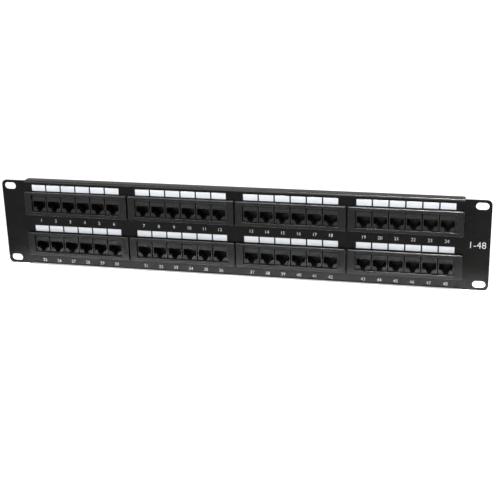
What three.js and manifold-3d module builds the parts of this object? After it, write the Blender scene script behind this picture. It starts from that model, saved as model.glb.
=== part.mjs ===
// Two-unit, 48-port rack patch panel: a folded steel face plate that carries eight six-port modules.
// Millimetres. X runs along the panel, +Z is up and -Y is the side the patch cords plug into.
// The origin is the centre of the plate's rear face, which is the plane of the rack rails.

import * as THREE from 'three';
import { mergeVertices } from 'three/addons/utils/BufferGeometryUtils.js';
import Module from 'manifold-3d';

const wasm = await Module();
wasm.setup();

// Face plate
const plateLength = 482.6;
const plateHeight = 88.1;
const sheet = 1.5;
const cornerRadius = 4.8;
const foldLength = 434;
const foldDepth = 10;
const foldRadius = 2.2;
const foldCornerRadius = 2.5;
const foldSteps = 4;
const slotSpacingX = 465.1;
const slotSpacingZ = 76.2;
const slotLength = 12;
const slotWidth = 7;

// Layout of the modules and of the ports in one module
const modulesPerRow = 4;
const modulePitch = 108.8;
const rowCentres = [20.75, -21.55];
const portsPerModule = 6;
const portPitch = 15.5;

// Bezel, from its proud front to the hooks and pillars behind the plate
const bezelLength = 107.5;
const bezelHeight = 24.3;
const bezelProud = 3.5;
const bezelCorner = 1.2;
const bezelEdge = 0.8;
const windowLength = 93;
const windowBottom = -8.4;
const windowTop = 9.4;
const windowCorner = 0.5;
const collarWall = 0.8;
const collarRear = 2;
const cutoutPlay = 0.2;
const hookOffset = 30;
const hookWidth = 6;
const hookReach = 0.9;
const hookStart = 0.1;
const pillarOffset = 49.4;
const pillarRadius = 2.3;
const pillarHoleRadius = 2.7;
const pilotRadius = 1.45;
const pilotDepth = 9;

// Jacks: six housings on one rear web, each with a stepped socket for plug and latch
const jackFront = -3;
const jackWidth = 14.6;
const jackBottom = -8.25;
const jackTop = 9.25;
const jackRear = 13;
const jackWeb = 2;
const socketDepth = 13;
const socketWidth = 12;
const socketTop = 2.95;
const socketBottom = -4.25;
const stepWidth = 9;
const stepBottom = -6.25;
const latchWidth = 6.2;
const latchBottom = -7.75;
const channelHalf = 44.5;
const channelBottom = 0.1;

// Spring contacts: one comb for each port on a common carrier bar
const contactWidth = 8;
const contactThickness = 0.6;
const contactTop = 2.65;
const contactFront = 1;
const contactTip = { y: 8.5, z: -1.4 };
const carrierFront = 10.6;
const carrierRear = 12.8;
const carrierBottom = 0.6;
const carrierHalf = 44;

// Circuit board
const boardLength = 106.4;
const boardHeight = 38;
const boardThickness = 1.6;
const boardDrop = -0.3;
const screwHoleRadius = 1.6;

// Punch-down block: a base with two rows of insulation-displacement towers and a label rib between them
const blockLength = 104.8;
const blockHeight = 30;
const blockBase = 2.4;
const blockCorner = 2;
const towerOffset = 9;
const towerThickness = 8.6;
const ribHeight = 5.6;
const ribTop = 22;
const towerTop = 30;
const pairsPerRow = 12;
const pairPitch = 7.62;
const pairSlot = 1.1;
const pairSlotDepth = 9.5;

// Board screws
const screwHeadRadius = 2.3;
const screwHeadHeight = 1.6;
const screwShankRadius = 1.3;
const screwTip = 5.5;
const screwSides = 8;

const plateFront = -sheet;
const bezelFront = plateFront - bezelProud;
const boardFront = jackRear;
const boardRear = boardFront + boardThickness;
const blockBaseRear = boardRear + blockBase;

const finishes = {
  plate: { color: 0x17171a, roughness: 0.5, metalness: 0.3 },
  bezel: { color: 0x1d1d20, roughness: 0.45, metalness: 0 },
  jack: { color: 0x141416, roughness: 0.35, metalness: 0 },
  contact: { color: 0xd9ad4c, roughness: 0.3, metalness: 1 },
  board: { color: 0x1c5a35, roughness: 0.5, metalness: 0 },
  block: { color: 0x202124, roughness: 0.55, metalness: 0 },
  screw: { color: 0xb9bcc0, roughness: 0.35, metalness: 1 },
};

// A closed geometry as a solid that can be joined and cut
function solid(geometry) {
  const bare = geometry.clone();
  bare.deleteAttribute('normal');
  bare.deleteAttribute('uv');
  const merged = mergeVertices(bare, 1e-4);
  return new wasm.Manifold(new wasm.Mesh({
    numProp: 3,
    vertProperties: new Float32Array(merged.attributes.position.array),
    triVerts: new Uint32Array(merged.index.array),
  }));
}

function geometryOf(manifold) {
  const mesh = manifold.getMesh();
  const geometry = new THREE.BufferGeometry();
  geometry.setAttribute('position', new THREE.BufferAttribute(new Float32Array(mesh.vertProperties), 3));
  geometry.setIndex(new THREE.BufferAttribute(new Uint32Array(mesh.triVerts), 1));
  geometry.computeVertexNormals();
  return geometry;
}

function box(x0, x1, y0, y1, z0, z1) {
  const geometry = new THREE.BoxGeometry(x1 - x0, y1 - y0, z1 - z0);
  geometry.translate((x0 + x1) / 2, (y0 + y1) / 2, (z0 + z1) / 2);
  return solid(geometry);
}

// An outline drawn in X and Z, as a slab between two depths in Y
function slab(outline, y0, y1, curveSegments = 3) {
  const geometry = new THREE.ExtrudeGeometry(outline, { depth: y1 - y0, bevelEnabled: false, curveSegments });
  geometry.rotateX(Math.PI / 2);
  geometry.translate(0, y1, 0);
  return solid(geometry);
}

// An outline drawn in Y and Z, as a bar between two places in X
function barAlongX(points, x0, x1) {
  const outline = new THREE.Shape(points.map(([y, z]) => new THREE.Vector2(y, z)));
  const geometry = new THREE.ExtrudeGeometry(outline, { depth: x1 - x0, bevelEnabled: false });
  geometry.applyMatrix4(new THREE.Matrix4().set(0, 0, 1, x0, 1, 0, 0, 0, 0, 1, 0, 0, 0, 0, 0, 1));
  return solid(geometry);
}

// A rod along Y
function rod(x, z, radius, y0, y1, sides) {
  const geometry = new THREE.CylinderGeometry(radius, radius, y1 - y0, sides);
  geometry.translate(x, (y0 + y1) / 2, z);
  return solid(geometry);
}

function roundedRectangle(x0, x1, z0, z1, radius) {
  const outline = new THREE.Shape();
  outline.moveTo(x0 + radius, z0);
  outline.lineTo(x1 - radius, z0);
  outline.absarc(x1 - radius, z0 + radius, radius, -Math.PI / 2, 0);
  outline.lineTo(x1, z1 - radius);
  outline.absarc(x1 - radius, z1 - radius, radius, 0, Math.PI / 2);
  outline.lineTo(x0 + radius, z1);
  outline.absarc(x0 + radius, z1 - radius, radius, Math.PI / 2, Math.PI);
  outline.lineTo(x0, z0 + radius);
  outline.absarc(x0 + radius, z0 + radius, radius, Math.PI, Math.PI * 1.5);
  return outline;
}

function centred(length, height, radius) {
  return roundedRectangle(-length / 2, length / 2, -height / 2, height / 2, radius);
}

function arcPoints(centreY, centreZ, radius, from, to, steps) {
  return Array.from({ length: steps + 1 }, (_, i) => {
    const angle = from + ((to - from) * i) / steps;
    return [centreY + radius * Math.cos(angle), centreZ + radius * Math.sin(angle)];
  });
}

function spread(count, pitch) {
  return Array.from({ length: count }, (_, i) => (i - (count - 1) / 2) * pitch);
}

const portOffsets = spread(portsPerModule, portPitch);

// Centres of the modules, top row first, left to right
const moduleCentres = rowCentres.flatMap((z) => spread(modulesPerRow, modulePitch).map((x) => ({ x, z })));

// The folded middle of the plate: web, two bends and two flanges in one section
function foldedSection() {
  const half = plateHeight / 2;
  const bendY = plateFront + foldRadius;
  const bendZ = half - foldRadius;
  const inner = foldRadius - sheet;
  const rear = plateFront + foldDepth;
  const outerTop = arcPoints(bendY, bendZ, foldRadius, Math.PI, Math.PI / 2, foldSteps);
  const innerTop = arcPoints(bendY, bendZ, inner, Math.PI / 2, Math.PI, foldSteps - 2);
  const mirror = (points) => points.map(([y, z]) => [y, -z]).reverse();
  return [
    ...mirror(outerTop),
    ...outerTop,
    [rear, half],
    [rear, half - sheet],
    ...innerTop,
    ...mirror(innerTop),
    [rear, -half + sheet],
    [rear, -half],
  ];
}

// The cutter that rounds off the rear corner of both flanges at one end of the fold
function flangeCorner(side) {
  const rear = plateFront + foldDepth;
  const end = (foldLength / 2) * side;
  const inner = end - side * foldCornerRadius;
  const half = plateHeight / 2 + 1;
  const low = Math.min(end, inner);
  const corner = box(low, low + foldCornerRadius, rear - foldCornerRadius, rear + 1, -half, half);
  const round = new THREE.CylinderGeometry(foldCornerRadius, foldCornerRadius, 2 * half + 2, 12);
  round.rotateX(Math.PI / 2);
  round.translate(inner, rear - foldCornerRadius, 0);
  return corner.subtract(solid(round));
}

function mountingSlot(x, z) {
  const nearlyRound = slotWidth / 2 - 0.01;
  const outline = roundedRectangle(
    x - slotLength / 2,
    x + slotLength / 2,
    z - slotWidth / 2,
    z + slotWidth / 2,
    nearlyRound,
  );
  return slab(outline, plateFront - 1, 1, 4);
}

// The cut-out for one module's collar, with a hole at each end for its screw pillars
function moduleCutout(centre) {
  const grow = collarWall + cutoutPlay;
  const half = windowLength / 2 + grow;
  const low = centre.z + windowBottom - grow;
  const high = centre.z + windowTop + grow;
  let cut = box(centre.x - half, centre.x + half, plateFront - 1, 1, low, high);
  for (const side of [-1, 1]) {
    const x = centre.x + side * pillarOffset;
    cut = cut.add(rod(x, centre.z, pillarHoleRadius, plateFront - 1, 1, 8));
  }
  return cut;
}

function facePlate() {
  const half = plateHeight / 2;
  const foldHalf = foldLength / 2;
  let plate = slab(centred(plateLength, plateHeight, cornerRadius), plateFront, 0, 4);
  plate = plate.subtract(box(-foldHalf, foldHalf, plateFront - 1, 1, half - foldRadius, half + 1));
  plate = plate.subtract(box(-foldHalf, foldHalf, plateFront - 1, 1, -half - 1, -half + foldRadius));
  plate = plate.add(barAlongX(foldedSection(), -foldHalf, foldHalf));
  for (const side of [-1, 1]) {
    plate = plate.subtract(flangeCorner(side));
    for (const z of [-slotSpacingZ / 2, slotSpacingZ / 2]) {
      plate = plate.subtract(mountingSlot((side * slotSpacingX) / 2, z));
    }
  }
  for (const centre of moduleCentres) {
    plate = plate.subtract(moduleCutout(centre));
  }
  return plate;
}

function bezel() {
  const front = new THREE.ExtrudeGeometry(centred(bezelLength, bezelHeight, bezelCorner), {
    depth: bezelProud,
    bevelSize: bezelEdge,
    bevelThickness: bezelEdge,
    bevelOffset: -bezelEdge,
    bevelSegments: 1,
    curveSegments: 2,
  });
  front.rotateX(Math.PI / 2);
  front.translate(0, bezelFront + bezelEdge + bezelProud, 0);
  let body = solid(front);
  const behindPlateFront = box(-bezelLength, bezelLength, plateFront, collarRear, -bezelHeight, bezelHeight);
  body = body.subtract(behindPlateFront);
  const collarHalf = windowLength / 2 + collarWall;
  const collarTop = windowTop + collarWall;
  const collarBottom = windowBottom - collarWall;
  body = body.add(box(-collarHalf, collarHalf, plateFront - 0.5, collarRear, collarBottom, collarTop));
  for (const x of [-hookOffset, hookOffset]) {
    for (const [edge, out] of [[collarTop, 1], [collarBottom, -1]]) {
      const inside = edge - out * 0.3;
      const tip = edge + out * hookReach;
      const hook = [[hookStart, inside], [hookStart, tip], [collarRear, edge], [collarRear, inside]];
      if (out > 0) hook.reverse();
      body = body.add(barAlongX(hook, x - hookWidth / 2, x + hookWidth / 2));
    }
  }
  for (const x of [-pillarOffset, pillarOffset]) {
    body = body.add(rod(x, 0, pillarRadius, plateFront - 0.5, boardFront, 8));
  }
  const window = roundedRectangle(-windowLength / 2, windowLength / 2, windowBottom, windowTop, windowCorner);
  body = body.subtract(slab(window, bezelFront - 1, collarRear + 1, 2));
  for (const x of [-pillarOffset, pillarOffset]) {
    body = body.subtract(rod(x, 0, pilotRadius, boardFront - pilotDepth, boardFront + 1, 8));
  }
  return body;
}

// The plug's profile with the latch down: a wide mouth, a step and a narrow latch way
function socketOutline(x) {
  const outline = new THREE.Shape();
  outline.moveTo(x - latchWidth / 2, latchBottom);
  outline.lineTo(x + latchWidth / 2, latchBottom);
  outline.lineTo(x + latchWidth / 2, stepBottom);
  outline.lineTo(x + stepWidth / 2, stepBottom);
  outline.lineTo(x + stepWidth / 2, socketBottom);
  outline.lineTo(x + socketWidth / 2, socketBottom);
  outline.lineTo(x + socketWidth / 2, socketTop);
  outline.lineTo(x - socketWidth / 2, socketTop);
  outline.lineTo(x - socketWidth / 2, socketBottom);
  outline.lineTo(x - stepWidth / 2, socketBottom);
  outline.lineTo(x - stepWidth / 2, stepBottom);
  outline.lineTo(x - latchWidth / 2, stepBottom);
  return outline;
}

function jackRow() {
  const half = portOffsets[portsPerModule - 1] + jackWidth / 2;
  let body = box(-half, half, jackFront, jackRear, jackBottom, jackTop);
  const gap = (portPitch - jackWidth) / 2;
  for (const x of portOffsets.slice(1)) {
    const left = x - portPitch / 2 - gap;
    const right = left + 2 * gap;
    body = body.subtract(box(left, right, jackFront - 1, jackRear - jackWeb, jackBottom - 1, jackTop + 1));
  }
  for (const x of portOffsets) {
    body = body.subtract(slab(socketOutline(x), jackFront - 1, jackFront + socketDepth));
  }
  const channelFront = jackFront + socketDepth - 0.01;
  body = body.subtract(box(-channelHalf, channelHalf, channelFront, jackRear + 1, channelBottom, socketTop));
  return body;
}

function contactSet() {
  let body = box(-carrierHalf, carrierHalf, carrierFront, carrierRear, carrierBottom, contactTop);
  const t = contactThickness;
  const spring = [
    [carrierFront + 0.5, contactTop - t],
    [carrierFront + 0.5, contactTop],
    [contactFront, contactTop],
    [contactFront, contactTop - t],
    [contactTip.y, contactTip.z - t],
    [contactTip.y, contactTip.z],
    [contactFront + 1.4, contactTop - t],
  ];
  for (const x of portOffsets) {
    body = body.add(barAlongX(spring.slice().reverse(), x - contactWidth / 2, x + contactWidth / 2));
  }
  return body;
}

function circuitBoard() {
  const half = boardLength / 2;
  const low = boardDrop - boardHeight / 2;
  let body = box(-half, half, boardFront, boardRear, low, low + boardHeight);
  for (const x of [-pillarOffset, pillarOffset]) {
    body = body.subtract(rod(x, 0, screwHoleRadius, boardFront - 1, boardRear + 1, 8));
  }
  return body;
}

// A row of towers seen from above: a comb whose slots part the wire pairs
function towerComb() {
  const half = (pairsPerRow * pairPitch) / 2;
  const floor = towerTop - pairSlotDepth;
  const outline = new THREE.Shape();
  outline.moveTo(-half, blockBaseRear - 0.5);
  outline.lineTo(half, blockBaseRear - 0.5);
  outline.lineTo(half, towerTop);
  for (let i = pairsPerRow - 1; i > 0; i -= 1) {
    const x = -half + i * pairPitch;
    outline.lineTo(x + pairSlot / 2, towerTop);
    outline.lineTo(x + pairSlot / 2, floor);
    outline.lineTo(x - pairSlot / 2, floor);
    outline.lineTo(x - pairSlot / 2, towerTop);
  }
  outline.lineTo(-half, towerTop);
  return outline;
}

function punchDownBlock() {
  let body = slab(centred(blockLength, blockHeight, blockCorner), boardRear, blockBaseRear, 2);
  for (const z of [-towerOffset, towerOffset]) {
    const comb = new THREE.ExtrudeGeometry(towerComb(), { depth: towerThickness, bevelEnabled: false });
    comb.translate(0, 0, z - towerThickness / 2);
    body = body.add(solid(comb));
  }
  const ribHalf = (pairsPerRow * pairPitch) / 2;
  body = body.add(box(-ribHalf, ribHalf, blockBaseRear - 0.5, ribTop, -ribHeight / 2, ribHeight / 2));
  for (const x of [-pillarOffset, pillarOffset]) {
    body = body.subtract(rod(x, -boardDrop, screwHoleRadius, boardRear - 1, blockBaseRear + 1, 8));
  }
  return body;
}

function boardScrew() {
  const profile = [
    [0, screwTip],
    [screwShankRadius, screwTip + 1],
    [screwShankRadius, blockBaseRear],
    [screwHeadRadius, blockBaseRear],
    [screwHeadRadius, blockBaseRear + screwHeadHeight * 0.5],
    [screwHeadRadius * 0.6, blockBaseRear + screwHeadHeight],
    [0, blockBaseRear + screwHeadHeight],
  ].map(([radius, y]) => new THREE.Vector2(radius, y));
  return solid(new THREE.LatheGeometry(profile, screwSides));
}

function part(name, manifold, finish, x = 0, z = 0) {
  const mesh = new THREE.Mesh(geometryOf(manifold), new THREE.MeshStandardMaterial(finishes[finish]));
  mesh.name = name;
  mesh.position.set(x, 0, z);
  return mesh;
}

const panel = new THREE.Group();
panel.add(part('face_plate', facePlate(), 'plate'));

const bezelBody = bezel();
const jackBody = jackRow();
const contactBody = contactSet();
const boardBody = circuitBoard();
const blockBody = punchDownBlock();
const screwBody = boardScrew();

moduleCentres.forEach((centre, i) => {
  const number = i + 1;
  const group = new THREE.Group();
  group.position.set(centre.x, 0, centre.z);
  group.add(part(`bezel_${number}`, bezelBody, 'bezel'));
  group.add(part(`jack_row_${number}`, jackBody, 'jack'));
  group.add(part(`contact_set_${number}`, contactBody, 'contact'));
  group.add(part(`circuit_board_${number}`, boardBody, 'board'));
  group.add(part(`punch_down_block_${number}`, blockBody, 'block', 0, boardDrop));
  group.add(part(`board_screw_${number}_left`, screwBody, 'screw', -pillarOffset));
  group.add(part(`board_screw_${number}_right`, screwBody, 'screw', pillarOffset));
  panel.add(group);
});

export default panel;
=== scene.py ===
# Two-unit, 48-port patch panel: the detailed pieces, materials, studio light and camera.
# Sizes in the dictionaries are millimetres. Finished pieces are in metres, with their place in their mesh.

import bmesh
import bpy
import math
from mathutils import Matrix, Vector


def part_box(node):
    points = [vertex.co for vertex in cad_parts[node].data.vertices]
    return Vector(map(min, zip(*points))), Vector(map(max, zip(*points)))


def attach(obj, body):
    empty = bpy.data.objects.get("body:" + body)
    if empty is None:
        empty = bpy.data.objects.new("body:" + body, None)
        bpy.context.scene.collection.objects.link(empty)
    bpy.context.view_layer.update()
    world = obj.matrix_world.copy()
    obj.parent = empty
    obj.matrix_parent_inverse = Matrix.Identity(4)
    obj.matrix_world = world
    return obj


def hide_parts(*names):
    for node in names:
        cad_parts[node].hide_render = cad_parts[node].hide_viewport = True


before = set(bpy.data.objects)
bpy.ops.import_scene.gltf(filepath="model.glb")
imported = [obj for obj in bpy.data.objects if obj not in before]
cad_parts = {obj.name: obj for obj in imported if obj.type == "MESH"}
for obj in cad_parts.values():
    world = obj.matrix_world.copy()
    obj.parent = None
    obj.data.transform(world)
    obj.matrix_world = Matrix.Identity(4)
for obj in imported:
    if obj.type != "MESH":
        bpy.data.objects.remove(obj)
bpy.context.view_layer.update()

mm = 0.001
past = 1  # how far a cutting tool reaches beyond the surface that it cuts
workbench = bpy.context.scene.collection
moduleNumbers = range(1, 9)
portsPerModule = 6


def boxInMm(node):
    low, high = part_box(node)
    return low / mm, high / mm


plateLow, plateHigh = boxInMm("face_plate")
bezelLow, bezelHigh = boxInMm("bezel_1")
jackLow, jackHigh = boxInMm("jack_row_1")
boardLow, boardHigh = boxInMm("circuit_board_1")
blockLow, blockHigh = boxInMm("punch_down_block_1")
contactRear = boxInMm("contact_set_1")[1].y
screwTip = boxInMm("board_screw_1_left")[0].y


def middle(node):
    low, high = boxInMm(node)
    return (low + high) / 2


bezelCentres = {n: Vector((middle(f"bezel_{n}").x, 0, middle(f"bezel_{n}").z)) for n in moduleNumbers}
firstCentre = bezelCentres[1]
plateFront = plateLow.y
bezelFront = bezelLow.y
pitch = {"port": 15.5, "pair": 7.62, "wire": 3.81, "contact": 1.02}

print("frame loaded")


# ---------- meshes ----------

placeOnAxis = {
    "X": lambda u, v, w: (w, u, v),
    "Y": lambda u, v, w: (u, w, v),
    "Z": lambda u, v, w: (u, v, w),
}


def plainMesh(shape):
    mesh = bpy.data.meshes.new("step")
    shape.to_mesh(mesh)
    shape.free()
    return mesh


def closedMesh(shape):  # with every face turned outward
    bmesh.ops.recalc_face_normals(shape, faces=shape.faces)
    return plainMesh(shape)


def roundedOutline(halfX, halfZ, radius, steps, centre=(0, 0)):
    points = []
    for signX, signZ, start in ((1, -1, -90), (1, 1, 0), (-1, 1, 90), (-1, -1, 180)):
        for i in range(steps + 1):
            angle = math.radians(start + 90 * i / steps)
            points.append((
                centre[0] + signX * (halfX - radius) + radius * math.cos(angle),
                centre[1] + signZ * (halfZ - radius) + radius * math.sin(angle),
            ))
    return points


def arc(centre, radius, start, end, steps):
    angles = [math.radians(start + (end - start) * i / steps) for i in range(steps + 1)]
    return [(centre[0] + radius * math.cos(a), centre[1] + radius * math.sin(a)) for a in angles]


def circle(radius, sides, centre=(0, 0)):
    return arc(centre, radius, 0, 360, sides)[:-1]


def prism(outline, axis, start, end):  # a closed bar of that outline along one axis
    shape = bmesh.new()
    rings = [[shape.verts.new(placeOnAxis[axis](u, v, w)) for u, v in outline] for w in (start, end)]
    shape.faces.new(rings[0])
    shape.faces.new(list(reversed(rings[1])))
    count = len(outline)
    for i in range(count):
        j = (i + 1) % count
        shape.faces.new((rings[0][i], rings[1][i], rings[1][j], rings[0][j]))
    return closedMesh(shape)


def block(x0, x1, y0, y1, z0, z1):
    return prism([(x0, z0), (x1, z0), (x1, z1), (x0, z1)], "Y", y0, y1)


def frameLoft(loops):  # a closed ring: each loop joins the next, and the last joins the first
    shape = bmesh.new()
    rings = [[shape.verts.new(point) for point in loop] for loop in loops]
    count = len(loops[0])
    for k, ring in enumerate(rings):
        after = rings[(k + 1) % len(rings)]
        for i in range(count):
            j = (i + 1) % count
            shape.faces.new((ring[i], ring[j], after[j], after[i]))
    return closedMesh(shape)


def revolve(profile, sides, centre=(0, 0)):  # profile of (radius, y), from axis to axis
    shape = bmesh.new()
    rings = []
    for radius, y in profile:
        if radius < 1e-6:
            rings.append([shape.verts.new((centre[0], y, centre[1]))])
        else:
            rings.append([shape.verts.new((u, y, v)) for u, v in circle(radius, sides, centre)])
    for here, after in zip(rings, rings[1:]):
        for i in range(sides):
            j = (i + 1) % sides
            corners = [here[i % len(here)], here[j % len(here)],
                       after[j % len(after)], after[i % len(after)]]
            shape.faces.new(list(dict.fromkeys(corners)))
    return closedMesh(shape)


def together(meshes):  # several meshes as one, without joining their surfaces
    shape = bmesh.new()
    for mesh in meshes:
        shape.from_mesh(mesh)
    return plainMesh(shape)


def evaluated(holder):  # what the modifiers make, as a plain mesh; the holder goes
    depsgraph = bpy.context.evaluated_depsgraph_get()
    depsgraph.update()
    mesh = bpy.data.meshes.new_from_object(holder.evaluated_get(depsgraph))
    bpy.data.objects.remove(holder)
    return mesh


def onBench(mesh, name="holder"):
    holder = bpy.data.objects.new(name, mesh)
    workbench.objects.link(holder)
    return holder


def modified(mesh, kind, **settings):
    holder = onBench(mesh)
    modifier = holder.modifiers.new("step", kind)
    for name, value in settings.items():
        setattr(modifier, name, value)
    return evaluated(holder)


def combined(mesh, tool, operation):
    toolHolder = onBench(tool, "tool")
    result = modified(mesh, "BOOLEAN", object=toolHolder, operation=operation, solver="EXACT")
    bpy.data.objects.remove(toolHolder)
    return result


def cleaned(mesh):  # flat neighbours become one face, so that edges soften evenly
    shape = bmesh.new()
    shape.from_mesh(mesh)
    bmesh.ops.remove_doubles(shape, verts=shape.verts, dist=0.0005)
    bmesh.ops.dissolve_limit(shape, angle_limit=math.radians(0.5), verts=shape.verts, edges=shape.edges)
    return closedMesh(shape)


def softened(mesh, width, segments=2, sharpAngle=35):
    return modified(mesh, "BEVEL", width=width, segments=segments, limit_method="ANGLE",
                    angle_limit=math.radians(sharpAngle), use_clamp_overlap=True)


def shaded(mesh, angle=40):
    for face in mesh.polygons:
        face.use_smooth = True
    mesh.set_sharp_from_angle(angle=math.radians(angle))
    return modified(mesh, "WEIGHTED_NORMAL", keep_sharp=True, weight=80)


def finished(name, mesh, material, centre=(0, 0, 0), nodes=()):  # off the bench, into its place
    mesh = mesh.copy()
    mesh.transform(Matrix.Scale(mm, 4) @ Matrix.Translation(centre))
    mesh.name = name
    if material is not None:
        mesh.materials.clear()
        mesh.materials.append(material)
    piece = bpy.data.objects.new(name, mesh)
    workbench.objects.link(piece)
    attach(piece, "root")
    if nodes:
        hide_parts(*nodes)
    return piece


# ---------- geometry node trees ----------

def newTree(name, sockets):
    tree = bpy.data.node_groups.new(name, "GeometryNodeTree")
    tree.interface.new_socket("Geometry", in_out="INPUT", socket_type="NodeSocketGeometry")
    for label, kind in sockets:
        tree.interface.new_socket(label, in_out="INPUT", socket_type=kind)
    tree.interface.new_socket("Geometry", in_out="OUTPUT", socket_type="NodeSocketGeometry")
    return tree, tree.nodes.new("NodeGroupInput"), tree.nodes.new("NodeGroupOutput")


def join(tree, output, target):
    tree.links.new(output, target)


def finishTree(tree, source, sink, geometry):  # every tree ends in real geometry with its material
    realize = tree.nodes.new("GeometryNodeRealizeInstances")
    paint = tree.nodes.new("GeometryNodeSetMaterial")
    join(tree, geometry, realize.inputs["Geometry"])
    join(tree, realize.outputs["Geometry"], paint.inputs["Geometry"])
    join(tree, source.outputs["Material"], paint.inputs["Material"])
    join(tree, paint.outputs["Geometry"], sink.inputs["Geometry"])


def templateSource(tree, source):
    info = tree.nodes.new("GeometryNodeObjectInfo")
    info.transform_space = "ORIGINAL"
    join(tree, source.outputs["Template"], info.inputs["Object"])
    return info.outputs["Geometry"]


def makeGridTree():  # copies of a template on a grid in X and Z
    tree, source, sink = newTree("copies on a grid", [
        ("Template", "NodeSocketObject"), ("Columns", "NodeSocketInt"), ("Column pitch", "NodeSocketFloat"),
        ("Rows", "NodeSocketInt"), ("Row pitch", "NodeSocketFloat"), ("Centre", "NodeSocketVector"),
        ("Material", "NodeSocketMaterial"),
    ])

    def line(count, pitchOutput, axis):
        node = tree.nodes.new("GeometryNodeMeshLine")
        node.mode = "OFFSET"
        join(tree, count, node.inputs["Count"])
        step = tree.nodes.new("ShaderNodeCombineXYZ")
        join(tree, pitchOutput, step.inputs[axis])
        join(tree, step.outputs["Vector"], node.inputs["Offset"])
        less = tree.nodes.new("ShaderNodeMath")
        less.operation = "SUBTRACT"
        less.inputs[1].default_value = 1
        join(tree, count, less.inputs[0])
        half = tree.nodes.new("ShaderNodeMath")
        half.operation = "MULTIPLY"
        half.inputs[1].default_value = -0.5
        join(tree, less.outputs[0], half.inputs[0])
        start = tree.nodes.new("ShaderNodeVectorMath")
        start.operation = "SCALE"
        join(tree, step.outputs["Vector"], start.inputs[0])
        join(tree, half.outputs[0], start.inputs["Scale"])
        join(tree, start.outputs["Vector"], node.inputs["Start Location"])
        return node.outputs["Mesh"]

    columns = line(source.outputs["Columns"], source.outputs["Column pitch"], "X")
    rows = line(source.outputs["Rows"], source.outputs["Row pitch"], "Z")
    onColumns = tree.nodes.new("GeometryNodeInstanceOnPoints")
    join(tree, columns, onColumns.inputs["Points"])
    join(tree, templateSource(tree, source), onColumns.inputs["Instance"])
    onRows = tree.nodes.new("GeometryNodeInstanceOnPoints")
    join(tree, rows, onRows.inputs["Points"])
    join(tree, onColumns.outputs["Instances"], onRows.inputs["Instance"])
    shift = tree.nodes.new("GeometryNodeTransform")
    join(tree, onRows.outputs["Instances"], shift.inputs["Geometry"])
    join(tree, source.outputs["Centre"], shift.inputs["Translation"])
    finishTree(tree, source, sink, shift.outputs["Geometry"])
    return tree


def makeScatterTree():  # copies of a template on the points of a mesh, each turned about Y by its own angle
    tree, source, sink = newTree("copies on points", [
        ("Template", "NodeSocketObject"), ("Seed", "NodeSocketInt"), ("Material", "NodeSocketMaterial"),
    ])
    turn = tree.nodes.new("FunctionNodeRandomValue")
    turn.data_type = "FLOAT"
    turn.inputs["Min"].default_value = 0
    turn.inputs["Max"].default_value = math.pi
    join(tree, source.outputs["Seed"], turn.inputs["Seed"])
    angles = tree.nodes.new("ShaderNodeCombineXYZ")
    join(tree, turn.outputs["Value"], angles.inputs["Y"])
    copies = tree.nodes.new("GeometryNodeInstanceOnPoints")
    join(tree, source.outputs["Geometry"], copies.inputs["Points"])
    join(tree, templateSource(tree, source), copies.inputs["Instance"])
    join(tree, angles.outputs["Vector"], copies.inputs["Rotation"])
    finishTree(tree, source, sink, copies.outputs["Instances"])
    return tree


def makeWireTree():  # sweeps a rounded wire along the holder's own path
    tree, source, sink = newTree("wire along a path", [
        ("Radius", "NodeSocketFloat"), ("Bend radius", "NodeSocketFloat"), ("Sides", "NodeSocketInt"),
        ("Material", "NodeSocketMaterial"),
    ])
    path = tree.nodes.new("GeometryNodeMeshToCurve")
    bends = tree.nodes.new("GeometryNodeFilletCurve")
    bends.mode = "POLY"
    bends.inputs["Count"].default_value = 5
    profile = tree.nodes.new("GeometryNodeCurvePrimitiveCircle")
    sweep = tree.nodes.new("GeometryNodeCurveToMesh")
    sweep.inputs["Fill Caps"].default_value = True
    join(tree, source.outputs["Geometry"], path.inputs["Mesh"])
    join(tree, path.outputs["Curve"], bends.inputs["Curve"])
    join(tree, source.outputs["Bend radius"], bends.inputs["Radius"])
    join(tree, source.outputs["Sides"], profile.inputs["Resolution"])
    join(tree, source.outputs["Radius"], profile.inputs["Radius"])
    join(tree, bends.outputs["Curve"], sweep.inputs["Curve"])
    join(tree, profile.outputs["Curve"], sweep.inputs["Profile Curve"])
    finishTree(tree, source, sink, sweep.outputs["Mesh"])
    return tree


gridTree = makeGridTree()
scatterTree = makeScatterTree()
wireTree = makeWireTree()


def grown(tree, values, points=None):  # runs a tree on some points and gives the plain mesh
    mesh = bpy.data.meshes.new("points")
    if points:
        edges = [(i, i + 1) for i in range(len(points) - 1)] if tree == wireTree else []
        mesh.from_pydata([Vector(p) for p in points], edges, [])
    holder = onBench(mesh)
    modifier = holder.modifiers.new("grow", "NODES")
    modifier.node_group = tree
    for item in tree.interface.items_tree:
        if item.item_type == "SOCKET" and item.in_out == "INPUT" and item.name in values:
            modifier[item.identifier] = values[item.name]
    return evaluated(holder)


def gridOf(template, columns, columnPitch, rows=1, rowPitch=0.0, centre=(0, 0, 0), material=None):
    holder = onBench(template, "template")
    mesh = grown(gridTree, {
        "Template": holder, "Columns": columns, "Column pitch": float(columnPitch), "Rows": rows,
        "Row pitch": float(rowPitch), "Centre": tuple(float(c) for c in centre), "Material": material,
    })
    bpy.data.objects.remove(holder)
    return mesh


# ---------- materials ----------

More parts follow.
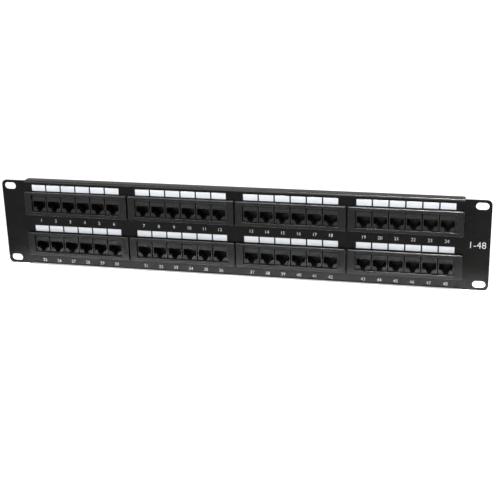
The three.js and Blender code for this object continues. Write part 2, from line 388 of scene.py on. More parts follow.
class Paint:  # one material under construction: its nodes, and the shader they feed
    def __init__(self, name, look):
        self.material = bpy.data.materials.new(name)
        self.material.use_nodes = True
        self.nodes = self.material.node_tree.nodes
        self.links = self.material.node_tree.links
        self.shader = self.nodes["Principled BSDF"]
        for socket, value in look.items():
            self.shader.inputs[socket].default_value = value
        self.place = self.nodes.new("ShaderNodeTexCoord").outputs["Object"]

    def stretched(self, scale):  # object coordinates, scaled apart in X, Y and Z
        node = self.nodes.new("ShaderNodeMapping")
        node.inputs["Scale"].default_value = scale
        self.links.new(self.place, node.inputs["Vector"])
        return node.outputs["Vector"]

    def noise(self, scale, detail=3.0, roughness=0.5, vector=None):
        node = self.nodes.new("ShaderNodeTexNoise")
        node.inputs["Scale"].default_value = scale
        node.inputs["Detail"].default_value = detail
        node.inputs["Roughness"].default_value = roughness
        self.links.new(vector or self.place, node.inputs["Vector"])
        return node.outputs["Fac"]

    def ramp(self, value, low, high, fromValue=0.35, toValue=0.65):  # maps a 0 to 1 value to a range
        node = self.nodes.new("ShaderNodeMapRange")
        node.inputs["From Min"].default_value = fromValue
        node.inputs["From Max"].default_value = toValue
        node.inputs["To Min"].default_value = low
        node.inputs["To Max"].default_value = high
        self.links.new(value, node.inputs["Value"])
        return node.outputs["Result"]

    def blendColours(self, value, first, second):
        node = self.nodes.new("ShaderNodeMix")
        node.data_type = "RGBA"
        node.inputs["A"].default_value = (*first, 1)
        node.inputs["B"].default_value = (*second, 1)
        self.links.new(value, node.inputs["Factor"])
        return node.outputs["Result"]

    def leaning(self, start, full, end):  # 0 on upright faces, 1 where a face leans back, then falling again
        split = self.nodes.new("ShaderNodeSeparateXYZ")
        self.links.new(self.nodes.new("ShaderNodeTexCoord").outputs["Normal"], split.inputs["Vector"])
        both = self.nodes.new("ShaderNodeMath")
        both.operation = "MULTIPLY"
        self.links.new(self.ramp(split.outputs["Z"], 0, 1, start, full), both.inputs[0])
        self.links.new(self.ramp(split.outputs["Z"], 1, 0, full, end), both.inputs[1])
        return both.outputs["Value"]

    def tinted(self, value, base, colour):  # the base colour, giving way to another one
        mixed = self.blendColours(value, (0, 0, 0), colour)
        self.links.new(base, mixed.node.inputs["A"])
        return mixed

    def colour(self, value):
        self.links.new(value, self.shader.inputs["Base Color"])

    def roughness(self, value):
        self.links.new(value, self.shader.inputs["Roughness"])

    def bumps(self, layers):  # (height, strength, distance in millimetres) from coarse to fine
        normal = None
        for height, strength, distance in layers:
            node = self.nodes.new("ShaderNodeBump")
            node.inputs["Strength"].default_value = strength
            node.inputs["Distance"].default_value = distance * mm
            self.links.new(height, node.inputs["Height"])
            if normal is not None:
                self.links.new(normal, node.inputs["Normal"])
            normal = node.outputs["Normal"]
        self.links.new(normal, self.shader.inputs["Normal"])


def makePowderCoat():
    paint = Paint("powder coat black", {"Specular IOR Level": 0.11})
    cloud = paint.noise(35, 4)
    grain = paint.noise(1400, 3, 0.6)
    pits = paint.noise(520, 2)
    coat = paint.blendColours(paint.ramp(cloud, 0, 1), (0.0030, 0.0028, 0.0025), (0.0046, 0.0043, 0.0040))
    bend = paint.leaning(0.10, 0.42, 0.72)
    paint.colour(paint.tinted(bend, coat, (0.030, 0.030, 0.030)))  # painted highlight: lighter colour along the bends and edges that face up and forward
    paint.roughness(paint.ramp(grain, 0.23, 0.33))
    paint.bumps([(pits, 0.25, 0.05), (grain, 0.35, 0.03)])
    return paint.material


def makePlastic(name, look):
    paint = Paint(name, {"Specular IOR Level": look["specular"]})
    flow = paint.noise(60, 3, 0.5, paint.stretched((0.25, 1, 1)))
    grain = paint.noise(look["grain"], 2, 0.55)
    body = paint.blendColours(paint.ramp(flow, 0, 1), look["dark"], look["light"])
    paintedTopHighlight = paint.leaning(0.1, 0.5, 5)  # painted highlight: every face that leans back takes a lighter colour, and the ramp hardly falls again, so top faces get it too
    paint.colour(paint.tinted(paintedTopHighlight, body, look["paintedTopColour"]))
    paint.roughness(paint.ramp(grain, *look["rough"]))
    paint.bumps([(flow, 0.08, 0.08), (grain, look["bump"], 0.02)])
    return paint.material


def makeMetal(name, look):
    paint = Paint(name, {"Metallic": 1.0})
    drawn = paint.noise(900, 4, 0.65, paint.stretched(look["stretch"]))
    stain = paint.noise(120, 3)
    paint.colour(paint.blendColours(paint.ramp(stain, 0, 1), look["dark"], look["light"]))
    paint.roughness(paint.ramp(drawn, *look["rough"]))
    paint.bumps([(drawn, look["bump"], 0.01)])
    return paint.material


def makeSolderMask():
    paint = Paint("solder mask green", {
        "Specular IOR Level": 0.5, "Coat Weight": 0.3, "Coat Roughness": 0.25})
    tracks = paint.nodes.new("ShaderNodeTexBrick")
    tracks.inputs["Scale"].default_value = 90
    tracks.inputs["Mortar Size"].default_value = 0.035
    tracks.inputs["Color1"].default_value = (0, 0, 0, 1)
    tracks.inputs["Color2"].default_value = (0, 0, 0, 1)
    tracks.inputs["Mortar"].default_value = (1, 1, 1, 1)
    turned = paint.nodes.new("ShaderNodeMapping")  # the tracks lie in the board's own plane
    turned.inputs["Rotation"].default_value = (math.radians(90), 0, 0)
    paint.links.new(paint.place, turned.inputs["Vector"])
    paint.links.new(turned.outputs["Vector"], tracks.inputs["Vector"])
    weave = paint.noise(700, 2)
    paint.colour(paint.blendColours(tracks.outputs["Color"], (0.006, 0.060, 0.024), (0.016, 0.115, 0.046)))
    paint.roughness(paint.ramp(weave, 0.28, 0.42))
    paint.bumps([(tracks.outputs["Color"], 0.5, 0.035), (weave, 0.1, 0.02)])
    return paint.material


def makePaper():
    paint = Paint("label white", {"Specular IOR Level": 0.25})
    fibres = paint.noise(1600, 4, 0.6, paint.stretched((0.5, 1, 1.6)))
    cloud = paint.noise(90, 2)
    paint.colour(paint.blendColours(paint.ramp(cloud, 0, 1), (0.76, 0.79, 0.84), (0.82, 0.84, 0.88)))
    paint.roughness(paint.ramp(fibres, 0.50, 0.66))
    paint.bumps([(fibres, 0.15, 0.01)])
    return paint.material


def makePrint():
    paint = Paint("white ink", {"Specular IOR Level": 0.3})
    cover = paint.noise(2200, 3)
    paint.colour(paint.blendColours(paint.ramp(cover, 0, 1), (0.62, 0.63, 0.65), (0.78, 0.79, 0.80)))
    paint.roughness(paint.ramp(cover, 0.45, 0.6))
    paint.bumps([(cover, 0.15, 0.01)])
    return paint.material


def makeWiringInk():
    paint = Paint("wiring colours", {"Specular IOR Level": 0.3})
    ink = paint.nodes.new("ShaderNodeAttribute")
    ink.attribute_name = "inkColour"
    screen = paint.noise(1800, 2)
    fade = paint.nodes.new("ShaderNodeMix")
    fade.data_type = "RGBA"
    fade.blend_type = "MULTIPLY"
    fade.inputs["Factor"].default_value = 0.25
    paint.links.new(ink.outputs["Color"], fade.inputs["A"])
    paint.links.new(screen, fade.inputs["B"])
    paint.colour(fade.outputs["Result"])
    paint.roughness(paint.ramp(screen, 0.45, 0.6))
    return paint.material


powderCoat = makePowderCoat()
# in each plastic, the colour for faces that lean back is a painted highlight
bezelPlastic = makePlastic("bezel plastic", {
    "dark": (0.0042, 0.0042, 0.0046), "light": (0.0064, 0.0064, 0.0069), "rough": (0.25, 0.34),
    "paintedTopColour": (0.012, 0.012, 0.0125), "grain": 2600, "bump": 0.3, "specular": 0.22})
jackPlastic = makePlastic("jack plastic", {
    "dark": (0.0042, 0.0042, 0.0045), "light": (0.0060, 0.0060, 0.0064), "rough": (0.28, 0.38),
    "paintedTopColour": (0.012, 0.012, 0.0125), "grain": 3200, "bump": 0.2, "specular": 0.35})
blockPlastic = makePlastic("punch-down plastic", {
    "dark": (0.0130, 0.0130, 0.0140), "light": (0.0190, 0.0190, 0.0200), "rough": (0.42, 0.56),
    "paintedTopColour": (0.022, 0.022, 0.023), "grain": 2200, "bump": 0.3, "specular": 0.45})
contactGold = makeMetal("contact gold", {
    "dark": (0.83, 0.58, 0.20), "light": (0.92, 0.70, 0.30), "rough": (0.18, 0.32),
    "stretch": (1, 0.15, 1), "bump": 0.1})
clipTin = makeMetal("clip tin", {
    "dark": (0.62, 0.63, 0.65), "light": (0.74, 0.75, 0.77), "rough": (0.26, 0.42),
    "stretch": (1, 0.15, 1), "bump": 0.15})
screwZinc = makeMetal("screw zinc", {
    "dark": (0.52, 0.54, 0.58), "light": (0.66, 0.67, 0.69), "rough": (0.24, 0.40),
    "stretch": (1, 1, 1), "bump": 0.15})
solderMask = makeSolderMask()
labelPaper = makePaper()
whiteInk = makePrint()
wiringInk = makeWiringInk()

print("materials made")


# ---------- face plate ----------

plate = {"sheet": 1.5, "corner": 4.8, "foldEnd": 217.0, "foldRadius": 2.2, "flangeCorner": 2.5,
         "slotX": 232.55, "slotZ": 38.1, "slotLength": 12.0, "slotWidth": 7.0, "slotFlat": 0.005,
         "cutoutX": 47.5, "cutoutLow": -9.4, "cutoutHigh": 10.4, "pillarX": 49.4, "pillarHole": 2.7,
         "edge": 0.3}


def foldedSection():
    half = plateHigh.z
    rear = plateHigh.y
    bend = (plateFront + plate["foldRadius"], half - plate["foldRadius"])
    outside = arc(bend, plate["foldRadius"], 180, 90, 14)
    inside = arc(bend, plate["foldRadius"] - plate["sheet"], 90, 180, 8)
    upper = outside + [(rear, half), (rear, half - plate["sheet"])] + inside
    return upper + [(y, -z) for y, z in reversed(upper)]


def makeFacePlate():
    half = plateHigh.z
    end = plate["foldEnd"]
    bent = plate["foldRadius"]
    body = prism(roundedOutline(plateHigh.x, half, plate["corner"], 10), "Y", plateFront, 0)
    margins = [block(-end, end, plateFront - past, past, half - bent, half + past),
               block(-end, end, plateFront - past, past, -half - past, -half + bent)]
    body = combined(body, together(margins), "DIFFERENCE")
    body = combined(body, prism(foldedSection(), "X", -end, end), "UNION")
    slotHalfX = plate["slotLength"] / 2
    slotHalfZ = plate["slotWidth"] / 2
    slots = []
    for x in (-plate["slotX"], plate["slotX"]):
        for z in (-plate["slotZ"], plate["slotZ"]):
            outline = roundedOutline(slotHalfX, slotHalfZ, slotHalfZ - plate["slotFlat"], 10, (x, z))
            slots.append(prism(outline, "Y", plateFront - past, past))
    body = combined(body, together(slots), "DIFFERENCE")
    openings = []
    for n in moduleNumbers:
        x, z = bezelCentres[n].x, bezelCentres[n].z
        opening = block(x - plate["cutoutX"], x + plate["cutoutX"], plateFront - past, past,
                        z + plate["cutoutLow"], z + plate["cutoutHigh"])
        for side in (-1, 1):
            ring = circle(plate["pillarHole"], 24, (x + side * plate["pillarX"], z))
            opening = combined(opening, prism(ring, "Y", plateFront - past, past), "UNION")
        openings.append(opening)
    body = combined(body, together(openings), "DIFFERENCE")
    corners = []
    r = plate["flangeCorner"]
    rear = plateHigh.y
    through = plate["sheet"] + past
    waste = arc((end - r, rear - r), r, 0, 90, 8)
    waste += [(end - r, rear + past), (end + past, rear + past), (end + past, rear - r)]
    for side in (-1, 1):
        outline = [(side * x, y) for x, y in waste]
        for low, high in ((half - through, half + past), (-half - past, -half + through)):
            corners.append(prism(outline, "Z", low, high))
    body = combined(body, together(corners), "DIFFERENCE")
    return shaded(softened(cleaned(body), plate["edge"], 2, 50), 32)


finished("folded_face_plate", makeFacePlate(), powderCoat, nodes=["face_plate"])
print("face plate made")


# ---------- bezels ----------

bezel = {"corner": 1.2, "smallestCorner": 0.3, "edge": 0.8, "lip": 0.35, "collar": 0.8, "collarRear": 2.0,
         "windowX": 46.5, "windowLow": -8.4, "windowHigh": 9.4, "windowCorner": 0.5,
         "hookX": 30.0, "hookWidth": 6.0, "hookReach": 0.9, "hookRoot": 0.3,
         "hookFront": 0.1, "hookFlat": 0.5,
         "pillarX": 49.4, "pillar": 2.3, "pillarRoot": 0.6, "pillarEdge": 0.3,
         "pilot": 1.45, "pilotDepth": 9.0, "pilotEdge": 0.2}


def makeBezel():
    halfX = (bezelHigh.x - bezelLow.x) / 2
    halfZ = (bezelHigh.z - bezelLow.z) / 2
    windowZ = (bezel["windowHigh"] + bezel["windowLow"]) / 2
    windowHalf = (bezel["windowHigh"] - bezel["windowLow"]) / 2
    steps = 5

    def outer(y, inset):
        corner = max(bezel["corner"] - inset / 2, bezel["smallestCorner"])
        return [(x, y, z) for x, z in roundedOutline(halfX - inset, halfZ - inset, corner, steps)]

    def around(y, grow):
        outline = roundedOutline(bezel["windowX"] + grow, windowHalf + grow, bezel["windowCorner"] + grow,
                                 steps, (0, windowZ))
        return [(x, y, z) for x, z in outline]

    def quarter(parts):  # a quarter turn, as pairs that go from (1, 0) to (0, 1)
        angles = [math.radians(90 * i / parts) for i in range(parts + 1)]
        return [(1 - math.sin(angle), 1 - math.cos(angle)) for angle in angles]

    loops = [outer(plateFront, 0)]
    for deep, inset in quarter(4):
        loops.append(outer(bezelFront + bezel["edge"] * deep, bezel["edge"] * inset))
    for grow, deep in quarter(3):
        loops.append(around(bezelFront + bezel["lip"] * deep, bezel["lip"] * grow))
    loops.append(around(bezel["collarRear"], 0))
    loops.append(around(bezel["collarRear"], bezel["collar"]))
    loops.append(around(plateFront, bezel["collar"]))
    body = frameLoft(loops)
    rears = []
    rear = bezel["collarRear"]
    collarHigh = bezel["windowHigh"] + bezel["collar"]
    collarLow = bezel["windowLow"] - bezel["collar"]
    for x in (-bezel["hookX"], bezel["hookX"]):
        for edge, out in ((collarHigh, 1), (collarLow, -1)):
            root = edge - out * bezel["hookRoot"]
            tip = edge + out * bezel["hookReach"]
            hook = [(bezel["hookFront"], root), (bezel["hookFront"], tip), (bezel["hookFlat"], tip),
                    (rear, edge), (rear, root)]
            rears.append(prism(hook, "X", x - bezel["hookWidth"] / 2, x + bezel["hookWidth"] / 2))
    top = boardLow.y
    foot = plateFront - bezel["pillarRoot"]
    floor = top - bezel["pilotDepth"]
    profile = [(0, foot), (bezel["pillar"], foot),
               (bezel["pillar"], top - bezel["pillarEdge"]), (bezel["pillar"] - bezel["pillarEdge"], top),
               (bezel["pilot"] + bezel["pilotEdge"], top), (bezel["pilot"], top - bezel["pilotEdge"]),
               (bezel["pilot"], floor), (0, floor)]
    for x in (-bezel["pillarX"], bezel["pillarX"]):
        rears.append(revolve(profile, 24, (x, 0)))
    for part in rears:
        body = combined(body, part, "UNION")
    return shaded(body, 40)


bezelMesh = makeBezel()
for n in moduleNumbers:
    finished(f"bezel_shell_{n}", bezelMesh, bezelPlastic, bezelCentres[n], [f"bezel_{n}"])
print("bezels made")


# ---------- jacks ----------

jack = {"width": 14.6, "depth": 13.0, "socketX": 6.2, "socketTop": 2.95, "socketLow": -3.75,
        "stepX": 3.4, "stepLow": -5.6, "latchX": 2.2, "latchLow": -7.75,
        "cheekX": 6.5, "cheekTop": 1.6, "cheekLow": -2.2, "cheekSlope": 0.5,
        "ledgeDrop": 1.9, "ledgeBack": 0.5, "edge": 0.12,
        "leadDrop": 0.15, "leadAhead": 0.5, "leadDepth": 2.2, "hair": 0.01,
        "grooves": 8, "grooveWidth": 0.62, "grooveDepth": 0.7, "grooveFront": 2.6, "grooveLow": 0.4}


def socketOutline():  # the floor of the latch way, up the right side, and down its mirror image
    slope = jack["cheekSlope"]
    floor = [(-jack["latchX"], jack["latchLow"]), (jack["latchX"], jack["latchLow"])]
    right = [(jack["latchX"], jack["stepLow"]), (jack["stepX"], jack["stepLow"]),
             (jack["stepX"], jack["socketLow"]), (jack["socketX"], jack["socketLow"]),
             (jack["socketX"], jack["cheekLow"] - slope), (jack["cheekX"], jack["cheekLow"]),
             (jack["cheekX"], jack["cheekTop"]), (jack["socketX"], jack["cheekTop"] + slope),
             (jack["socketX"], jack["socketTop"])]
    return floor + right + [(-x, z) for x, z in reversed(right)]


def makeJack():
    low = jackLow.z - firstCentre.z
    high = jackHigh.z - firstCentre.z
    front = jackLow.y
    rear = jackHigh.y
    half = jack["width"] / 2
    side = [(front, low), (rear, low), (rear, high), (front + jack["ledgeBack"], high),
            (front + jack["ledgeBack"], high - jack["ledgeDrop"]), (front, high - jack["ledgeDrop"])]
    body = prism(side, "X", -half, half)
    socket = prism(socketOutline(), "Y", front - past, front + jack["depth"])
    body = combined(body, socket, "DIFFERENCE")
    ledge = jack["socketLow"] - jack["hair"]
    reach = jack["socketX"] - jack["hair"]
    lead = [(front - jack["leadAhead"], ledge), (front + jack["leadDepth"], ledge),
            (front - jack["leadAhead"], jack["socketLow"] - jack["leadDrop"])]
    body = combined(body, prism(lead, "X", -reach, reach), "DIFFERENCE")  # a slope that guides the plug
    grooves = []
    start = -(jack["grooves"] - 1) / 2 * pitch["contact"]
    for i in range(jack["grooves"]):
        x = start + i * pitch["contact"]
        grooves.append(block(x - jack["grooveWidth"] / 2, x + jack["grooveWidth"] / 2,
                             front + jack["grooveFront"], rear + past,
                             jack["grooveLow"], jack["socketTop"] + jack["grooveDepth"]))
    body = combined(body, together(grooves), "DIFFERENCE")
    return shaded(softened(cleaned(body), jack["edge"], 2, 40), 40)


jackMesh = makeJack()
jackRowMesh = gridOf(jackMesh, portsPerModule, pitch["port"], material=jackPlastic)
for n in moduleNumbers:
    finished(f"jack_housings_{n}", jackRowMesh, None, bezelCentres[n], [f"jack_row_{n}"])
print("jacks made")


# ---------- contact springs ----------

contact = {"radius": 0.23, "bend": 0.7, "sides": 8, "topZ": 2.85, "front": 1.3, "tip": (8.3, -1.5),
           "heel": (0.8, 0.4), "nose": (0.35, 0.9)}  # heel and nose: how far back and how far down


def makeContactWire():
    top = contact["topZ"]
    heelBack, heelDown = contact["heel"]
    noseBack, noseDown = contact["nose"]
    path = [(0, contactRear, top - heelDown), (0, contactRear - heelBack, top), (0, contact["front"], top),
            (0, contact["front"] + noseBack, top - noseDown), (0, *contact["tip"])]
    return shaded(grown(wireTree, {
        "Radius": contact["radius"], "Bend radius": contact["bend"], "Sides": contact["sides"],
        "Material": contactGold,
    }, path), 50)


def makeContactRow():
    comb = gridOf(makeContactWire(), jack["grooves"], pitch["contact"], material=contactGold)
    return gridOf(comb, portsPerModule, pitch["port"], material=contactGold)


contactMesh = makeContactRow()
for n in moduleNumbers:
    finished(f"contact_wires_{n}", contactMesh, None, bezelCentres[n], [f"contact_set_{n}"])
print("contact springs made")


# ---------- circuit boards ----------

board = {"corner": 1.0, "hole": 1.6, "holeX": 49.4, "edge": 0.12,
         "solderZ": 1.7, "solderPitch": 1.27, "solderCount": 72,
         "joint": [(0, -0.05), (0.62, -0.05), (0.60, 0.03), (0.36, 0.25), (0.24, 0.62), (0, 0.70)]}


def makeBoard():
    halfX = (boardHigh.x - boardLow.x) / 2
    low = boardLow.z - firstCentre.z
    high = boardHigh.z - firstCentre.z
    outline = roundedOutline(halfX, (high - low) / 2, board["corner"], 5, (0, (low + high) / 2))
    body = prism(outline, "Y", boardLow.y, boardHigh.y)
    rings = [circle(board["hole"], 20, (side * board["holeX"], 0)) for side in (-1, 1)]
    holes = [prism(ring, "Y", boardLow.y - past, boardHigh.y + past) for ring in rings]
    body = combined(body, together(holes), "DIFFERENCE")
    return shaded(softened(cleaned(body), board["edge"], 2, 50), 35)


def makeSolderJoints():
    joint = revolve([(radius, boardHigh.y + height) for radius, height in board["joint"]], 10)
    rowZ = (boardHigh.z - firstCentre.z) - board["solderZ"]
    lowZ = (boardLow.z - firstCentre.z) + board["solderZ"]
    return gridOf(shaded(joint, 60), board["solderCount"], board["solderPitch"], 2, rowZ - lowZ,
                  (0, 0, (rowZ + lowZ) / 2), clipTin)


boardMesh = makeBoard()
solderMesh = makeSolderJoints()
for n in moduleNumbers:
    finished(f"green_board_{n}", boardMesh, solderMask, bezelCentres[n],
             [f"circuit_board_{n}"])
    finished(f"solder_joints_{n}", solderMesh, None, bezelCentres[n])
print("circuit boards made")


# ---------- punch-down blocks ----------

punch = {"baseThick": 2.4, "corner": 2.0, "towerZ": 9.0, "towerThick": 8.6, "pairsPerRow": 12,
         "pairGap": 1.1, "pairDepth": 9.5, "wireSlot": 1.2, "wireDepth": 10.5, "mouth": 0.55,
         "mouthDepth": 1.5, "sink": 0.5, "ribZ": 2.8, "ribTop": 22.0,
         "hole": 1.6, "holeX": 49.4, "edge": 0.15}
blockMiddle = (blockHigh.z + blockLow.z) / 2


def towerOutline():  # one row of towers seen from above: pair gaps, and a mouthed slot for each wire
    half = punch["pairsPerRow"] * pitch["pair"] / 2
    top = blockHigh.y
    foot = boardHigh.y + punch["baseThick"] - punch["sink"]
    slot = punch["wireSlot"] / 2
    mouth = punch["mouth"]
    throat = top - punch["mouthDepth"]
    floor = top - punch["wireDepth"]
    points = [(-half, foot), (half, foot), (half, top)]
    for i in reversed(range(punch["pairsPerRow"])):
        centre = -half + (i + 0.5) * pitch["pair"]
        for wireX in (centre + pitch["wire"] / 2, centre - pitch["wire"] / 2):
            points += [(wireX + slot + mouth, top), (wireX + slot, throat), (wireX + slot, floor),
                       (wireX - slot, floor), (wireX - slot, throat), (wireX - slot - mouth, top)]
        if i > 0:
            edge = centre - pitch["pair"] / 2
            gap = punch["pairGap"] / 2
            points += [(edge + gap, top), (edge + gap, top - punch["pairDepth"]),
                       (edge - gap, top - punch["pairDepth"]), (edge - gap, top)]
    return points + [(-half, top)]


def makePunchBlock():
    base = boardHigh.y + punch["baseThick"]
    halfX = (blockHigh.x - blockLow.x) / 2
    halfZ = (blockHigh.z - blockLow.z) / 2
    body = prism(roundedOutline(halfX, halfZ, punch["corner"], 6), "Y", boardHigh.y, base)
    for z in (-punch["towerZ"], punch["towerZ"]):
        tower = prism(towerOutline(), "Z", z - punch["towerThick"] / 2, z + punch["towerThick"] / 2)
        body = combined(body, tower, "UNION")
    half = punch["pairsPerRow"] * pitch["pair"] / 2
    rib = block(-half, half, base - punch["sink"], punch["ribTop"], -punch["ribZ"], punch["ribZ"])
    body = combined(body, rib, "UNION")
    drop = blockMiddle - firstCentre.z
    rings = [circle(punch["hole"], 20, (side * punch["holeX"], -drop)) for side in (-1, 1)]
    holes = [prism(ring, "Y", boardHigh.y - past, base + past) for ring in rings]
    body = combined(body, together(holes), "DIFFERENCE")
    return shaded(softened(cleaned(body), punch["edge"], 2, 50), 35)


punchMesh = makePunchBlock()


clip = {"below": 1.9, "innerX": 0.2, "slope": 0.9, "flat": 0.05, "halfThick": 0.3}


def makeClips():  # two tin blades in every wire slot
    top = blockHigh.y - clip["below"]
    foot = blockHigh.y - punch["wireDepth"]
    outer = punch["wireSlot"] / 2
    blade = [(outer, foot), (clip["innerX"], foot), (clip["innerX"], top - clip["slope"]),
             (outer - clip["flat"], top), (outer, top)]
    blades = []
    for side in (-1, 1):
        outline = [(side * x, y) for x, y in blade]
        blades.append(prism(outline, "Z", -clip["halfThick"], clip["halfThick"]))
    wires = punch["pairsPerRow"] * 2
    return gridOf(shaded(together(blades), 30), wires, pitch["wire"], 2, punch["towerZ"] * 2,
                  material=clipTin)


clipMesh = makeClips()


wiring = {"stripZ": 2.4, "stripThick": 0.12, "stripShort": 0.6, "stripCorner": 0.5,
          "patchX": 2.9, "patchZ": 1.5, "patchOffZ": 1.05, "patchThick": 0.03, "patchCorner": 0.2,
          "colours": [(0.02, 0.10, 0.50), (0.85, 0.25, 0.02), (0.02, 0.32, 0.08), (0.22, 0.08, 0.02)]}


def makeWiringStrip():
    half = punch["pairsPerRow"] * pitch["pair"] / 2 - wiring["stripShort"]
    outline = roundedOutline(half, wiring["stripZ"], wiring["stripCorner"], 3)
    return shaded(prism(outline, "Y", punch["ribTop"], punch["ribTop"] + wiring["stripThick"]), 30)


def paled(tint):  # the second wire of a pair has the same colour with white
    return tuple(0.55 + 0.45 * c for c in tint)


def makeWiringPatches():  # two blocks of colour for each pair of wires, along both tower rows
    shape = bmesh.new()
    ink = shape.loops.layers.float_color.new("inkColour")
    y0 = punch["ribTop"] + wiring["stripThick"]
    half = punch["pairsPerRow"] * pitch["pair"] / 2
    for rowIndex, z in enumerate((wiring["patchOffZ"], -wiring["patchOffZ"])):
        for i in range(punch["pairsPerRow"]):
            tint = wiring["colours"][(i + rowIndex) % len(wiring["colours"])]
            for k, shade in enumerate((tint, paled(tint))):
                x = -half + i * pitch["pair"] + (k + 0.5) * pitch["wire"]
                outline = roundedOutline(wiring["patchX"] / 2, wiring["patchZ"] / 2, wiring["patchCorner"],
                                         2, (x, z))
                before = len(shape.faces)
                shape.from_mesh(prism(outline, "Y", y0, y0 + wiring["patchThick"]))
                shape.faces.ensure_lookup_table()
                for face in shape.faces[before:]:
                    for corner in face.loops:
                        corner[ink] = (*shade, 1)
    return plainMesh(shape)


stripMesh = makeWiringStrip()
patchMesh = makeWiringPatches()
for n in moduleNumbers:
    centre = Vector((bezelCentres[n].x, 0, middle(f"punch_down_block_{n}").z))
    finished(f"punch_down_towers_{n}", punchMesh, blockPlastic, centre,
             [f"punch_down_block_{n}"])
    finished(f"wire_clips_{n}", clipMesh, None, centre)
    finished(f"wiring_strip_{n}", stripMesh, labelPaper, centre)
    finished(f"wiring_colours_{n}", patchMesh, wiringInk, centre)
print("punch-down blocks made")


# ---------- board screws ----------

screw = {"head": 2.3, "headEdge": 0.1, "headRise": 0.12, "dome": 1.6, "domeFoot": 0.45, "domeShare": 0.98,
         "shank": 1.3, "root": 1.05, "neck": 0.6, "neckEnd": 0.4,
         "threadPitch": 0.9, "threadStart": 0.9, "threadEnd": 1.2, "point": (0.35, 0.1),
         "cross": 0.5, "crossLength": 1.35, "crossDepth": 1.1, "crossTop": 3, "seed": 7}


def makeScrew():
    seat = blockLow.y + punch["baseThick"]
    pointRadius, pointLength = screw["point"]
    profile = [(0, screwTip), (pointRadius, screwTip + pointLength)]
    y = screwTip + screw["threadStart"]
    while y < seat - screw["threadEnd"]:  # the thread, as rings
        profile += [(screw["root"], y), (screw["shank"], y + screw["threadPitch"] / 2)]
        y += screw["threadPitch"]
    profile += [(screw["root"], seat - screw["neck"]), (screw["shank"], seat - screw["neckEnd"]),
                (screw["shank"], seat), (screw["head"] - screw["headEdge"], seat),
                (screw["head"], seat + screw["headRise"])]
    foot = screw["domeFoot"]
    for i in range(6):
        angle = math.radians(90 * i / 5)
        profile.append((screw["head"] * math.cos(angle) * screw["domeShare"],
                        seat + foot + (screw["dome"] - foot) * math.sin(angle)))
    profile[-1] = (0, seat + screw["dome"])
    body = revolve(profile, 24)
    arm = screw["crossLength"]
    wide = screw["cross"] / 2
    floor = seat + screw["dome"] - screw["crossDepth"]
    top = seat + screw["crossTop"]
    across = block(-arm, arm, floor, top, -wide, wide)
    upright = block(-wide, wide, floor, top, -arm, arm)
    cross = combined(across, upright, "UNION")
    return shaded(combined(body, cross, "DIFFERENCE"), 35)


def makeScrews():
    template = onBench(makeScrew(), "template")
    spots = []
    for centre in bezelCentres.values():
        spots += [(centre.x + side * punch["holeX"], 0, centre.z) for side in (-1, 1)]
    mesh = grown(scatterTree, {"Template": template, "Seed": screw["seed"], "Material": screwZinc}, spots)
    bpy.data.objects.remove(template)
    return mesh


screwNodes = [f"board_screw_{n}_{side}" for n in moduleNumbers for side in ("left", "right")]
finished("board_screws", makeScrews(), None, nodes=screwNodes)
print("screws made")


# ---------- label fields and numbers ----------

label = {"length": 14.1, "height": 6.0, "thick": 0.12, "corner": 0.25, "edge": 0.04, "above": 16.13}
number = {"height": 3.3, "below": 18.05, "thick": 0.05, "thinner": 0.012, "capital": 0.72,
          "earHeight": 6.6, "earX": 229.5, "earZ": 0.2}


def makeLabelField():
    outline = roundedOutline(label["length"] / 2, label["height"] / 2, label["corner"], 3)
    field = prism(outline, "Y", plateFront - label["thick"], plateFront)
    return shaded(softened(field, label["edge"], 1, 60), 30)


labelMesh = gridOf(makeLabelField(), portsPerModule, pitch["port"], material=labelPaper)
for n in moduleNumbers:
    centre = bezelCentres[n] + Vector((0, 0, label["above"]))
    finished(f"label_fields_{n}", labelMesh, None, centre)


def lettering(text, height, x, z):  # raised print, standing on the plate's front
    curve = bpy.data.curves.new("print", "FONT")
    curve.body = text
    curve.align_x = "CENTER"
    curve.align_y = "CENTER"
    curve.size = height / number["capital"]  # the font's capitals are that part of its size
    curve.extrude = number["thick"] / 2
    curve.offset = -number["thinner"] * height
    curve.resolution_u = 4
    holder = bpy.data.objects.new("print", curve)
    workbench.objects.link(holder)
    mesh = evaluated(holder)
    upright = Matrix.Rotation(math.radians(90), 4, "X")
    mesh.transform(Matrix.Translation((x, plateFront - number["thick"] / 2, z)) @ upright)
    return mesh


def makeNumbers():
    prints = []
    for n in moduleNumbers:
        z = bezelCentres[n].z - number["below"]
        for i in range(portsPerModule):
            port = (n - 1) * portsPerModule + i + 1
            x = bezelCentres[n].x + (i - (portsPerModule - 1) / 2) * pitch["port"]
            prints.append(lettering(str(port), number["height"], x, z))
    return together(prints)


finished("port_numbers", makeNumbers(), whiteInk)
portCount = len(moduleNumbers) * portsPerModule
rangeMesh = lettering(f"1-{portCount}", number["earHeight"], number["earX"], number["earZ"])
finished("port_range", rangeMesh, whiteInk)
print("labels and numbers made")


# ---------- floor, light and camera ----------

studio = {"floorHalf": 20.0, "floorLight": (0.92, 0.92, 0.92), "floorShade": (0.90, 0.90, 0.90),
          "floorGlow": 0.40, "world": 0.74}

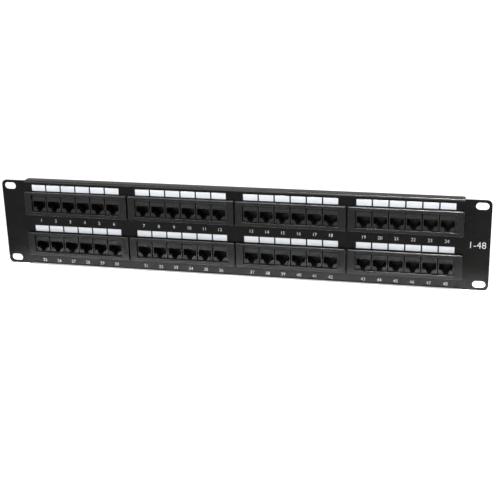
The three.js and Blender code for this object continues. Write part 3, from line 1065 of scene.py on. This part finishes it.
lamps = {  # place, the point it looks at, its size, its power, how wide the beam spreads
    "front softbox": ((0.1, -0.9, 1.2), (0, -0.1, 0), (0.8, 0.5), 2, 180),
    "rim strip": ((0.07, -0.024, 0.7), (0.07, -0.014, -0.044), (0.62, 0.014), 0.50, 6),
    "back softbox": ((0.9, 0.6, 0.6), (0.0, 0.03, 0.0), (0.8, 0.5), 5, 180),
}


def makeFloor():
    half = studio["floorHalf"]
    z = plateLow.z * mm
    mesh = bpy.data.meshes.new("floor")
    corners = [(-half, -half, z), (half, -half, z), (half, half, z), (-half, half, z)]
    mesh.from_pydata(corners, [], [(0, 1, 2, 3)])
    paint = Paint("floor white", {
        "Roughness": 0.9, "Specular IOR Level": 0.1,
        "Emission Color": (1, 1, 1, 1), "Emission Strength": studio["floorGlow"]})
    tone = paint.noise(3, 2)
    paint.colour(paint.blendColours(paint.ramp(tone, 0, 1), studio["floorShade"], studio["floorLight"]))
    mesh.materials.append(paint.material)
    floor = bpy.data.objects.new("floor", mesh)
    workbench.objects.link(floor)


def hangLamp(name, place, target, size, power, spread):
    data = bpy.data.lights.new(name, "AREA")
    data.shape = "RECTANGLE"
    data.size, data.size_y = size
    data.energy = power
    data.spread = math.radians(spread)
    lamp = bpy.data.objects.new(name, data)
    workbench.objects.link(lamp)
    lamp.location = place
    lamp.rotation_euler = (Vector(target) - Vector(place)).to_track_quat("-Z", "Y").to_euler()


makeFloor()
for name, settings in lamps.items():
    hangLamp(name, *settings)

world = bpy.data.worlds.new("studio")
bpy.context.scene.world = world
world.use_nodes = True
sky = world.node_tree.nodes["Background"]
sky.inputs["Color"].default_value = (1, 1, 1, 1)
sky.inputs["Strength"].default_value = studio["world"]
bpy.context.scene.view_settings.view_transform = "Standard"

lens = {"place": (0.2387, -0.9311, 0.3253), "aim": (0.01407, -0.0015, -0.01648),
        "roll": -1.45, "focal": 75.22, "farthest": 50}
cameraData = bpy.data.cameras.new("camera")
cameraData.lens = lens["focal"]
cameraData.clip_end = lens["farthest"]
camera = bpy.data.objects.new("camera", cameraData)
workbench.objects.link(camera)
camera.location = lens["place"]
aim = (Vector(lens["aim"]) - Vector(lens["place"])).to_track_quat("-Z", "Y")
camera.rotation_euler = (aim.to_matrix() @ Matrix.Rotation(math.radians(lens["roll"]), 3, "Z")).to_euler()
bpy.context.scene.camera = camera
print("studio set")
